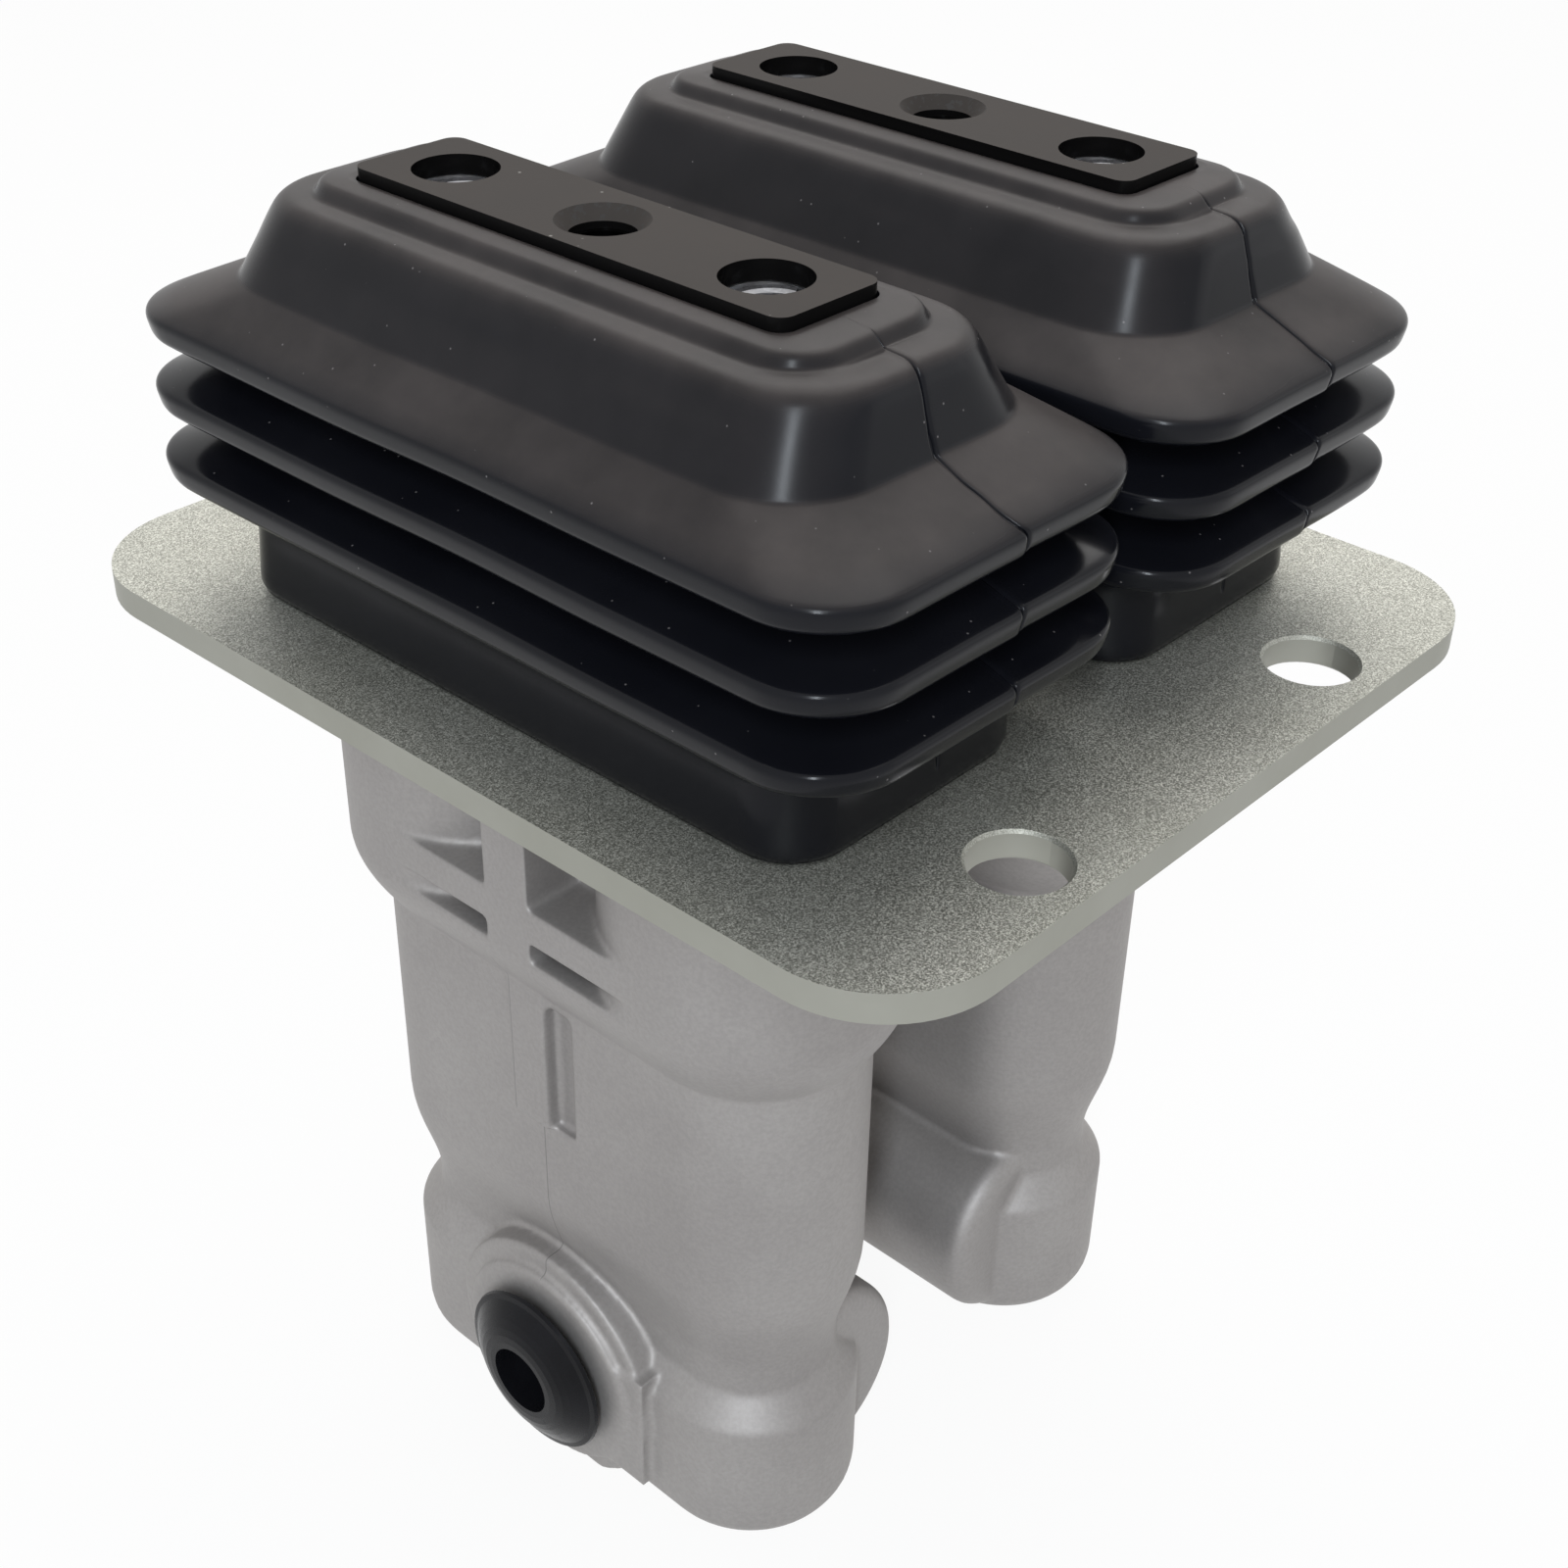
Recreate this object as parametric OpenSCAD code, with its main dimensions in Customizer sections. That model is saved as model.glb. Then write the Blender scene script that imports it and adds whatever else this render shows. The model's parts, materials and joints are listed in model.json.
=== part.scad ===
// Twin foot pedal valve for hydraulic travel control.
// The frame: origin at the centre of the four mounting holes on the plate's underside,
// X across the two pedals, +Y towards the toe end, +Z up to the pedals. Millimetres.
// Each pedal rocks on a pin and pushes two rods, which work a spool each through springs.

/* [Mounting plate] */
// Plate size across the two pedals
plate_w = 125; // [118:1:150]
// Plate size along the pedals
plate_l = 147; // [142:1:170]
// Plate thickness
plate_t = 4; // [3:0.5:6]
// Radius of the plate's corners
plate_corner_r = 16; // [8:1:18]
// Diameter of the four mounting holes
mount_hole_d = 12; // [9:0.5:13]
// Hole pitch across the pedals
mount_pitch_x = 61; // [50:1:90]
// Hole pitch along the pedals
mount_pitch_y = 128; // [124:1:140]
// Chamfer on the rims of the mounting holes
mount_hole_chamfer = 0.4; // [0.1:0.1:0.8]

/* [Layout] */
// Distance between the two pedal centre lines
pedal_pitch = 60.5; // [60:0.5:70]
// Distance of each bore from the pivot, along the pedal
bore_offset = 25; // [24:0.5:27]
// Height of the pivot axis above the plate's underside
pivot_z = 28; // [26:0.5:31]
// Height of the pedal bar's top face
bar_top_z = 60.6; // [58:0.2:64]
// Tilt of a pedal each way, in degrees
pedal_tilt = 12; // [6:1:12]
// Gap left between pieces that only touch
seat_gap = 0.2; // [0.1:0.05:0.3]
// Radial clearance of a running fit
run_fit = 0.05; // [0.03:0.01:0.08]

/* [Valve body casting] */
// Radius of the head around each bore
head_r = 20.4; // [19.6:0.2:22]
// Radius of the column around each bore
column_r = 15.5; // [15:0.25:17]
// Height of the head's rounded underside
under_h = 10; // [6:0.5:12]
// Depth at which the column starts to narrow
waist_start = 78; // [74:1:84]
// Depth of the column's narrowest place
waist_depth = 96; // [94:0.5:97]
// How far the waist cuts in
waist_cut = 3.4; // [2:0.2:3.6]
// Depth of the ledge above the foot
ledge_depth = 103.2; // [102.4:0.2:104]
// Height of that ledge's slope
ledge_h = 4.4; // [3:0.2:5]
// Total height of the casting
body_h = 127; // [124:1:134]
// Radius of the casting's bottom edge
foot_round = 5; // [2:0.5:6]
// Half width of the web between the head's two cylinders
web_half = 11; // [9:0.5:13]
// Width of the upright rib between the pockets
rib_w = 8; // [6:0.5:9]
// Depth of the flat rib's upper face below the plate
shelf_depth = 22.8; // [20:0.2:24]
// Thickness of the flat rib
shelf_t = 5.2; // [4:0.2:6]
// Height of the lower pockets
low_pocket_h = 3.2; // [2.6:0.2:4]

/* [Ports] */
// Depth of the side port's axis below the plate
port_depth = 109.6; // [108:0.2:111]
// Wall radius of the side port's thread
side_port_r = 8.3; // [7:0.1:9]
// Depth of the side port
side_port_len = 20; // [16:1:24]
// Radius of the port boss's wide step
boss_r = 19.8; // [18.8:0.2:20]
// Radius of the port boss's sealing face
boss_face_r = 16.8; // [15.6:0.2:17]
// How far the wide step stands out of the column
boss_step = 1.2; // [0.8:0.1:1.8]
// How far the sealing face stands out of the column
boss_face = 2.6; // [2.2:0.1:3.5]
// Wall radius of the work ports in the casting's bottom
work_port_r = 6.6; // [5:0.1:7]
// Depth of the work ports
work_port_len = 13; // [10:0.5:14]
// Radius of the cored passage from the side port to the spools
passage_r = 3; // [2:0.25:3.5]
// Radius of the round gallery boss on the inner side
gallery_boss_r = 16; // [15:0.5:17]
// How far the gallery boss's axis lies inwards of the bores
gallery_boss_in = 6.8; // [5:0.2:8]
// Half length of the gallery boss
gallery_boss_half = 34; // [30:1:36]
// Radius of the gallery boss's end edge
gallery_boss_round = 3; // [1:0.5:5]

/* [Pads on the outer side] */
// Height of the pad beside the port
pad_h = 26; // [20:1:27]
// Distance of the pad's far edge from the port axis
pad_reach = 19.5; // [17:0.5:22]
// How far the pad stands out of the column
pad_out = 2; // [1:0.2:3]
// Width of the raised strip above the port
strip_w = 6.8; // [5:0.2:8]
// Distance of the strip's middle from the port axis, towards the toe
strip_mid = 2.1; // [0:0.1:3]
// Depth of the strip's lower end below the plate
strip_low = 64; // [58:1:70]
// How far the raised strip stands out
strip_out = 0.8; // [0.4:0.1:1.2]
// Width of the groove beside the strip
panel_w = 4.4; // [3.4:0.2:6]
// Depth of that groove
panel_deep = 1.7; // [0.8:0.1:2]

/* [Bores and rods] */
// Radius of the bore that holds a rod guide
guide_r = 13; // [12:0.25:14]
// Depth of the rod guide
guide_h = 14; // [12:0.5:16]
// Radius of the spring chamber
chamber_r = 10.5; // [10:0.25:11]
// Depth of the spring chamber's floor below the plate
chamber_depth = 62; // [58:1:66]
// Radius of a push rod
rod_r = 5; // [4:0.25:5.5]
// Thickness of a damping piston
piston_h = 8; // [6:0.5:9]
// Depth of a piston's upper face below the guide
piston_drop = 6.5; // [6:0.25:8]
// Radius of a spool
spool_r = 4.5; // [3.5:0.25:5]
// Length of a spool's stem above the chamber's floor
spool_stem = 15; // [12:0.5:16]
// Thickness of the spring seat on a spool
seat_t = 3; // [2:0.5:4]
// Radius of the spring seat
seat_r = 6; // [5.5:0.25:6.25]
// Wire radius of a return spring
return_wire_r = 1.1; // [0.8:0.1:1.2]
// Wire radius of a control spring
control_wire_r = 0.8; // [0.6:0.1:0.9]
// Section radius of a guide's sealing ring
o_ring_r = 1; // [0.8:0.1:1.3]

/* [Pedal bracket] */
// Half width of the bracket's base
base_half_w = 18; // [17:0.25:18.25]
// Half length of the bracket's base
base_half_l = 46.5; // [44:0.5:46.75]
// Corner radius of the bracket's base
base_corner_r = 6; // [4:0.5:8]
// Thickness of the bracket's base
base_t = 6; // [5.5:0.5:7]
// Height of the groove that holds the boot's bead
groove_h = 2.4; // [1.8:0.2:2.6]
// Depth of that groove
groove_deep = 1.5; // [1:0.1:2]
// Thickness of an ear
ear_t = 5; // [4:0.5:5.5]
// Radius of an ear around the pin
ear_r = 9; // [8:0.5:10]
// Radius of the pivot pin
pin_r = 5; // [4:0.25:5.5]
// Wall of a pivot bush
bush_wall = 1.5; // [1:0.25:2]
// Thickness of a pin clip
clip_t = 1; // [0.8:0.1:1.2]
// Thread radius of a bracket screw
screw_r = 2.5; // [2:0.25:2.5]
// Head radius of a bracket screw
screw_head_r = 4.25; // [3.75:0.25:4.5]
// Thread length of a bracket screw in the casting
screw_bite = 12; // [9:0.5:14]
// Distance of a bracket screw from the pedal's centre line
screw_x = 12; // [11.5:0.25:12.25]
// Distance of a bracket screw from the pivot, along the pedal
screw_y = 13; // [12.5:0.25:13.5]

/* [Rocker and bar] */
// Width of the rocker between the ears
rocker_w = 14; // [12:0.5:14.5]
// Radius of the rocker's hub
hub_r = 9.5; // [8.5:0.5:10]
// Half length of the rocker's top and of the pedal block's raised step
rocker_half_l = 32.5; // [31.5:0.25:33]
// Height of the pedal block on the rocker
block_h = 15; // [13:0.5:16]
// Half width of the pedal block under the boot's lip
block_half_w = 10.5; // [9:0.25:11]
// Half length of the pedal block
block_half_l = 36; // [34:0.5:37]
// Half width of the raised step inside the boot's lip
step_half_w = 6.75; // [6:0.25:7]
// Height of the raised step, which the boot's lip surrounds
lip_h = 3.6; // [3:0.2:4]
// Thread wall radius of the two pedal bolts
pedal_thread_r = 5; // [4:0.25:5]
// Radius of the blind hole under the bar's middle hole
locator_r = 3.4; // [2.5:0.1:3.4]
// Depth of that blind hole
locator_deep = 11; // [6:0.5:12]
// Thickness of the pedal bar
bar_t = 2.5; // [2:0.25:3]
// Half width of the pedal bar
bar_half_w = 8.15; // [8:0.05:8.5]
// Half length of the pedal bar
bar_half_l = 34.5; // [34:0.25:35]
// Corner radius of the pedal bar
bar_corner_r = 2; // [1:0.25:3]
// Radius of the clearance holes in the bar
bar_hole_r = 5.3; // [5.2:0.1:5.8]
// Radius of the countersunk hole in the middle of the bar
csk_hole_r = 4; // [3:0.25:4.25]
// Radius of the countersink at the bar's top
csk_top_r = 5.6; // [5:0.1:6]
// Radius of an adjusting screw
adjuster_r = 4; // [3:0.25:4.25]
// Height of an adjusting screw's tip above the plate's underside
tip_z = 24; // [23:0.25:25]
// Radius of the rounded tip
tip_round_r = 6; // [5:0.5:7]
// Size across the flats of a lock nut
nut_flats = 12; // [10:0.5:12.5]
// Thickness of a lock nut
nut_t = 4; // [3:0.5:4.5]

/* [Rubber boot] */
// Wall of the boot
boot_wall = 2.3; // [1.8:0.1:2.6]
// Half width of the folds
fold_half_w = 28.2; // [27:0.1:28.8]
// Half length of the folds
fold_half_l = 59.9; // [58:0.1:61]
// Corner radius of the folds
fold_corner_r = 11; // [8:0.5:14]
// Half width of the boot's foot
foot_half_w = 21.4; // [21:0.1:22]
// Half length of the boot's foot
foot_half_l = 49.8; // [49:0.1:51]
// Height of the lowest fold's underside above the plate's underside
fold_first_z = 20.2; // [18:0.2:21]
// Height from fold to fold
fold_pitch = 9.5; // [9:0.1:9.8]
// Height of a fold's lip
fold_lip_h = 3.4; // [3:0.1:4]
// Depth of the valleys between the folds
valley_deep = 9; // [5:0.5:9.5]

/* [Port cap] */
// Radius of the cap's thin flange
cap_flange_r = 13.3; // [12:0.1:14]
// Gap between the flange and the boss
cap_lift = 1.6; // [1:0.1:2]
// Height of the cap's dome above the boss
cap_dome_h = 5.2; // [4.2:0.2:6]
// Length of the cap's plug in the port
cap_plug_len = 12; // [8:1:15]
// Radius of the hollow in the cap
cap_hollow_r = 5.4; // [4:0.2:5.8]
// Depth of the hollow below the boss's face
cap_hollow_deep = 7; // [4:1:7]

/* [Hidden] */
$fn = 64;

left = -1;
right = 1;
toe = 1;
heel = -1;
cut = 1;
wire_sides = 6;
steps_per_turn = 12;
waist_steps = 8;
under_steps = 6;
under_power = 1.6;
round_steps = 5;
corner_steps = 6;
dome_steps = 5;

plate_top = plate_t;
base_top = plate_top + base_t;
groove_low_z = plate_top + (base_t - groove_h) / 2;
bar_bottom_z = bar_top_z - bar_t;
block_top_z = bar_bottom_z;
block_low_z = block_top_z - block_h;
step_z = block_top_z - lip_h;
wiper_r = rod_r + 3;
wiper_hole_r = wiper_r + seat_gap;
bush_r = pin_r + run_fit + bush_wall;
ear_in = rocker_w / 2 + 0.4;
ear_out = ear_in + ear_t;
clip_gap = 0.1;
pin_end = ear_out + 2 * clip_gap + clip_t + 1;
rod_top_z = tip_z - 0.3;
piston_top_z = -guide_h - piston_drop;
piston_low_z = piston_top_z - piston_h;
chamber_floor_z = -chamber_depth;
seat_low_z = chamber_floor_z + spool_stem - seat_t;
seat_top_z = seat_low_z + seat_t;
rod_shank_r = 3;
spool_neck_r = 3;
spool_low_z = -body_h + work_port_len + 3;
shelf_top_z = -shelf_depth;
shelf_low_z = shelf_top_z - shelf_t;
shoulder_z = shelf_low_z - low_pocket_h;
under_low_z = shoulder_z - under_h;
groove_top_z = under_low_z - 1.5;
port_z = -port_depth;

// Draws a piece in the left or right half: its own +X points away from the middle
module half(side) {
    translate([side * pedal_pitch / 2, 0, 0])
        mirror([side == left ? 1 : 0, 0, 0])
            children();
}

// Moves a piece to the toe bore or the heel bore
module at_bore(end) {
    translate([0, end * bore_offset, 0])
        children();
}

// Puts a piece into both bores
module both_bores() {
    for (end = [toe, heel])
        at_bore(end)
            children();
}

// Rounded rectangle from exact squares and circles, given by its half sizes
module rounded_rect(half_w, half_l, r) {
    square([2 * (half_w - r), 2 * half_l], center = true);
    square([2 * half_w, 2 * (half_l - r)], center = true);
    for (x = [-1, 1])
        for (y = [-1, 1])
            translate([x * (half_w - r), y * (half_l - r)])
                circle(r);
}

// Upright cylinder between two heights
module post(r, z0, z1) {
    translate([0, 0, z0])
        cylinder(r = r, h = z1 - z0);
}

// Ring between two heights
module ring(r_out, r_in, z0, z1) {
    difference() {
        post(r_out, z0, z1);
        post(r_in, z0 - cut, z1 + cut);
    }
}

// Box given by its two corners
module box(a, b) {
    translate(a)
        cube(b - a);
}

// Solid with round ends at both bores, from one outline of radius and height
module twin_turned(outline) {
    for (end = [toe, heel])
        at_bore(end)
            rotate_extrude()
                polygon(outline);
    rotate([90, 0, 0])
        linear_extrude(2 * bore_offset, center = true) {
            polygon(outline);
            mirror([1, 0])
                polygon(outline);
        }
}

// Coil spring along Z between two heights
function coil_point(r, wire_r, z0, z1, turns, i, j) =
    let (n = turns * steps_per_turn)
    let (a = 360 * i / steps_per_turn)
    let (z = z0 + wire_r + (z1 - z0 - 2 * wire_r) * i / n)
    let (b = 360 * j / wire_sides)
    [(r + wire_r * cos(b)) * cos(a), (r + wire_r * cos(b)) * sin(a), z + wire_r * sin(b)];

module coil(r, wire_r, z0, z1, turns) {
    n = turns * steps_per_turn;
    points = [for (i = [0:n]) for (j = [0:wire_sides - 1])
        coil_point(r, wire_r, z0, z1, turns, i, j)];
    sides = [for (i = [0:n - 1]) for (j = [0:wire_sides - 1])
        [i * wire_sides + j, i * wire_sides + (j + 1) % wire_sides,
            (i + 1) * wire_sides + (j + 1) % wire_sides, (i + 1) * wire_sides + j]];
    ends = [[for (j = [wire_sides - 1:-1:0]) j], [for (j = [0:wire_sides - 1]) n * wire_sides + j]];
    polyhedron(points, concat(sides, ends));
}

// One ring of points round a rounded rectangle, anticlockwise from above
function rect_ring(s) = [
    for (c = [[1, 1, 0], [-1, 1, 90], [-1, -1, 180], [1, -1, 270]])
        for (k = [0:corner_steps])
            let (a = c[2] + 90 * k / corner_steps)
            [c[0] * (s[1] - s[2]) + s[2] * cos(a), c[1] * (s[0] - s[2]) + s[2] * sin(a), s[3]]];

// Closed skin through sections [half length, half width, corner radius, height]
// that go up the outside and down the inside
module skin(sections) {
    m = 4 * (corner_steps + 1);
    n = len(sections);
    points = [for (s = sections) each rect_ring(s)];
    faces = [for (i = [0:n - 1]) for (j = [0:m - 1])
        [i * m + j, ((i + 1) % n) * m + j, ((i + 1) % n) * m + (j + 1) % m, i * m + (j + 1) % m]];
    polyhedron(points, faces);
}

// Plate that carries both valve bodies and bolts to the machine's floor
module mounting_plate() {
    color("#b4b6ac")
        difference() {
            linear_extrude(plate_t)
                rounded_rect(plate_w / 2, plate_l / 2, plate_corner_r);
            for (x = [-1, 1])
                for (y = [-1, 1])
                    translate([x * mount_pitch_x / 2, y * mount_pitch_y / 2, 0])
                        chamfered_hole(mount_hole_d / 2, mount_hole_chamfer);
            for (side = [left, right])
                half(side) {
                    for (end = [toe, heel])
                        at_bore(end)
                            post(wiper_hole_r, -cut, plate_t + cut);
                    at_screws()
                        post(screw_r + seat_gap, -cut, plate_t + cut);
                }
        }
}

module chamfered_hole(r, chamfer) {
    post(r, -cut, plate_t + cut);
    translate([0, 0, plate_t - chamfer])
        cylinder(r1 = r, r2 = r + chamfer + 0.01, h = chamfer + 0.01);
    translate([0, 0, -0.01])
        cylinder(r1 = r + chamfer + 0.01, r2 = r, h = chamfer + 0.01);
}

module at_screws() {
    for (x = [-1, 1])
        for (y = [-1, 1])
            translate([x * screw_x, y * screw_y, 0])
                children();
}

// Outline of underside, column, waist, ledge and foot, as radius and height
function underside_at(t) = [column_r + (head_r - column_r) * (1 - pow(t, under_power)), shoulder_z - under_h * t];
function waist_at(t) = [column_r - waist_cut * (1 - cos(180 * t)) / 2,
    -waist_start - (waist_depth - waist_start) * t];
column_outline = concat(
    [[0, shoulder_z]],
    [for (i = [0:under_steps]) underside_at(i / under_steps)],
    [for (i = [0:waist_steps]) waist_at(i / waist_steps)],
    [[column_r - waist_cut, ledge_h - ledge_depth], [column_r - 0.3, -ledge_depth], [column_r, -ledge_depth - 0.6]],
    [for (i = [0:round_steps])
        let (a = 90 * i / round_steps)
        [column_r - foot_round * (1 - cos(a)), -body_h + foot_round * (1 - sin(a))]],
    [[0, -body_h]]);

// Head: two cylinders, a web, an upright rib and a flat rib that leave four pockets a side
module head() {
    for (end = [toe, heel])
        at_bore(end)
            post(head_r, shoulder_z, 0);
    box([-web_half, -bore_offset, shoulder_z], [web_half, bore_offset, 0]);
    box([-head_r, -rib_w / 2, shoulder_z], [head_r, rib_w / 2, 0]);
    box([-head_r, -bore_offset, shelf_low_z], [head_r, bore_offset, shelf_top_z]);
}

// Round boss with two steps around the side port
module port_boss() {
    intersection() {
        translate([0, 0, port_z])
            rotate([0, 90, 0]) {
                cylinder(r = boss_r, h = column_r + boss_step);
                cylinder(r = boss_face_r, h = column_r + boss_face);
            }
        box([0, -2 * boss_r, -body_h], [2 * column_r, 2 * boss_r, 0]);
    }
}

// Horizontal gallery boss along the inner side of the foot
module gallery_boss() {
    translate([-gallery_boss_in, 0, port_z])
        rotate([90, 0, 0])
            rotate_extrude()
                polygon(concat(
                    [[0, -gallery_boss_half]],
                    [for (i = [0:round_steps])
                        let (a = 90 * i / round_steps)
                        [gallery_boss_r - gallery_boss_round * (1 - sin(a)),
                            -gallery_boss_half + gallery_boss_round * (1 - cos(a))]],
                    [for (i = [0:round_steps])
                        let (a = 90 * i / round_steps)
                        [gallery_boss_r - gallery_boss_round * (1 - cos(a)),
                            gallery_boss_half - gallery_boss_round * (1 - sin(a))]],
                    [[0, gallery_boss_half]]));
}

// Pad beside the port and raised strip above it, on the outer side
module side_pads() {
    box([0, -pad_reach, -body_h + foot_round], [column_r + pad_out, 0, -body_h + pad_h]);
    box([0, strip_mid - strip_w / 2, -strip_low], [column_r + strip_out, strip_mid + strip_w / 2, shoulder_z]);
}

// Bores of one spool, from the guide's seat down to the work port
module valve_bore() {
    post(guide_r, -guide_h, cut);
    post(chamber_r, chamber_floor_z, 0);
    post(spool_r, -body_h, chamber_floor_z + cut);
    post(spool_r + 2, port_z - 3, port_z + 3);
    post(work_port_r, -body_h - cut, -body_h + work_port_len);
}

module valve_body() {
    color("#a8a49f")
        difference() {
            union() {
                twin_turned(column_outline);
                head();
                port_boss();
                gallery_boss();
                side_pads();
            }
            for (end = [toe, heel])
                at_bore(end)
                    valve_bore();
            at_screws()
                post(screw_r, -screw_bite - 2, cut);
            translate([0, 0, port_z]) {
                rotate([0, 90, 0])
                    translate([0, 0, column_r + boss_face - side_port_len])
                        cylinder(r = side_port_r, h = side_port_len + cut);
                rotate([90, 0, 0])
                    cylinder(r = passage_r, h = 2 * bore_offset, center = true);
            }
            box([column_r - panel_deep, strip_mid - strip_w / 2 - panel_w, -strip_low],
                [2 * column_r, strip_mid - strip_w / 2, groove_top_z]);
        }
}

// Tapered plug with a thin flange and a domed, hollow top that closes the side port
cap_outline = concat(
    [[0, -cap_plug_len], [side_port_r - 0.8, -cap_plug_len], [side_port_r - 0.02, 0],
        [side_port_r + 0.6, cap_lift * 0.6], [side_port_r + 2, cap_lift],
        [cap_flange_r - 0.5, cap_lift], [cap_flange_r, cap_lift + 0.4], [cap_flange_r - 0.2, cap_lift + 0.9]],
    [for (i = [0:dome_steps])
        let (t = i / dome_steps)
        [cap_flange_r - 1 - (cap_flange_r - cap_hollow_r - 2) * t,
            cap_lift + 1.1 + (cap_dome_h - cap_lift - 1.1) * sin(90 * t)]],
    [[cap_hollow_r + 0.3, cap_dome_h], [0, cap_dome_h]]);

module port_cap() {
    color("#1b1c1e")
        translate([column_r + boss_face, 0, port_z])
            rotate([0, 90, 0])
                difference() {
                    rotate_extrude()
                        polygon(cap_outline);
                    translate([0, 0, -cap_hollow_deep])
                        cylinder(r = cap_hollow_r, h = cap_hollow_deep + cap_dome_h + cut);
                }
}

// Bush with a ring groove that guides one push rod
module rod_guide() {
    ring_z = -guide_h / 2;
    color("#9a9c9e")
        difference() {
            post(guide_r - run_fit, -guide_h + seat_gap, -seat_gap);
            post(rod_r + run_fit, -guide_h - cut, cut);
            ring(guide_r + cut, guide_r - 2 * o_ring_r, ring_z - o_ring_r - 0.2, ring_z + o_ring_r + 0.2);
        }
}

// Sealing ring in the guide's groove
module guide_o_ring() {
    color("#161616")
        translate([0, 0, -guide_h / 2])
            rotate_extrude()
                translate([guide_r - o_ring_r - 0.1, 0])
                    circle(o_ring_r - 0.15, $fn = 24);
}

// Wiper ring that keeps dirt off the push rod
module rod_wiper() {
    color("#202020")
        difference() {
            union() {
                post(wiper_r, seat_gap, plate_top + 1);
                post(wiper_r - 1, plate_top + 1, plate_top + 3);
            }
            post(rod_r + run_fit, -cut, plate_top + 4);
        }
}

// Rod that the rocker pushes, with a foot in the piston
module push_rod() {
    color("#c8c9ca")
        difference() {
            union() {
                post(rod_r, piston_top_z + seat_gap, rod_top_z - 1);
                translate([0, 0, rod_top_z - 1])
                    cylinder(r1 = rod_r, r2 = rod_r - 1, h = 1);
                post(rod_shank_r, piston_low_z + 2, piston_top_z + cut);
            }
        }
}

// Piston that damps the rod's movement, drilled with two orifices
module damping_piston() {
    color("#b0a58a")
        difference() {
            post(chamber_r - 2 * run_fit, piston_low_z, piston_top_z);
            post(rod_shank_r + run_fit, piston_low_z + 2 - seat_gap, piston_top_z + cut);
            for (x = [-1, 1])
                translate([x * (chamber_r + rod_shank_r) / 2, 0, 0])
                    post(0.6, piston_low_z - cut, piston_top_z + cut);
        }
}

module return_spring() {
    color("#8a8c8e")
        coil(chamber_r - return_wire_r - 0.4, return_wire_r,
            chamber_floor_z + seat_gap, piston_low_z - seat_gap, 6);
}

module control_spring() {
    color("#8a8c8e")
        coil(seat_r - control_wire_r - 0.1, control_wire_r,
            seat_top_z + seat_gap, piston_low_z - seat_gap, 5);
}

// Collar on the spool that carries the control spring
module spring_seat() {
    color("#7c7f82")
        ring(seat_r, spool_neck_r + run_fit, seat_low_z, seat_top_z);
}

// Spool with lands, a metering groove and a neck that carries the seat
module spool() {
    land_r = spool_r - run_fit;
    color("#d0d1d2")
        difference() {
            union() {
                post(land_r, spool_low_z, seat_low_z - seat_gap);
                post(spool_neck_r, seat_low_z - seat_gap - cut, seat_top_z + 2);
            }
            ring(spool_r + cut, spool_r - 1.5, port_z + 4, port_z + 10);
            ring(spool_r + cut, spool_r - 1, chamber_floor_z - 14, chamber_floor_z - 10);
            post(1.5, spool_low_z - cut, port_z + 7);
        }
}

// Base with a groove for the boot's bead and two ears for the pin
module pedal_bracket() {
    color("#8f8f8c")
        difference() {
            union() {
                translate([0, 0, plate_top])
                    linear_extrude(groove_low_z - plate_top)
                        rounded_rect(base_half_w, base_half_l, base_corner_r);
                translate([0, 0, plate_top])
                    linear_extrude(base_t)
                        rounded_rect(base_half_w - groove_deep, base_half_l - groove_deep,
                            base_corner_r - groove_deep);
                translate([0, 0, groove_low_z + groove_h])
                    linear_extrude(base_top - groove_low_z - groove_h)
                        rounded_rect(base_half_w, base_half_l, base_corner_r);
                for (x = [-1, 1])
                    translate([x * (ear_in + ear_t / 2), 0, 0])
                        ear();
            }
            for (end = [toe, heel])
                at_bore(end)
                    post(wiper_hole_r, plate_top - cut, base_top + cut);
            at_screws() {
                post(screw_r + seat_gap, plate_top - cut, base_top + cut);
                post(screw_head_r + 0.4, base_top - 1, pivot_z);
            }
            translate([0, 0, pivot_z])
                rotate([0, 90, 0])
                    cylinder(r = pin_r + 0.02, h = 4 * ear_out, center = true);
        }
}

// One ear: a round eye on a tapered foot
module ear() {
    foot_half = ear_r + 7;
    rotate([90, 0, 90])
        linear_extrude(ear_t, center = true) {
            translate([0, pivot_z])
                circle(ear_r);
            polygon([[-foot_half, plate_top], [foot_half, plate_top], [foot_half, base_top + 1],
                [ear_r, pivot_z], [-ear_r, pivot_z], [-foot_half, base_top + 1]]);
        }
}

module bracket_screws() {
    head_top = base_top - 1 + 2 * screw_r;
    color("#3a3b3d")
        at_screws()
            difference() {
                union() {
                    post(screw_r - 0.02, -screw_bite, base_top);
                    post(screw_head_r, base_top - 1 + 0.02, head_top);
                }
                translate([0, 0, head_top - screw_r])
                    cylinder(r = screw_r * 0.95, h = screw_r + cut, $fn = 6);
            }
}

module pivot_pin() {
    groove_mid = ear_out + clip_gap + clip_t / 2;
    color("#b9bbbd")
        translate([0, 0, pivot_z])
            rotate([0, 90, 0])
                difference() {
                    cylinder(r = pin_r, h = 2 * pin_end, center = true);
                    for (x = [-1, 1])
                        ring(pin_r + cut, pin_r - 0.6, x * groove_mid - clip_t / 2 - 0.05,
                            x * groove_mid + clip_t / 2 + 0.05);
                }
}

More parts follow.
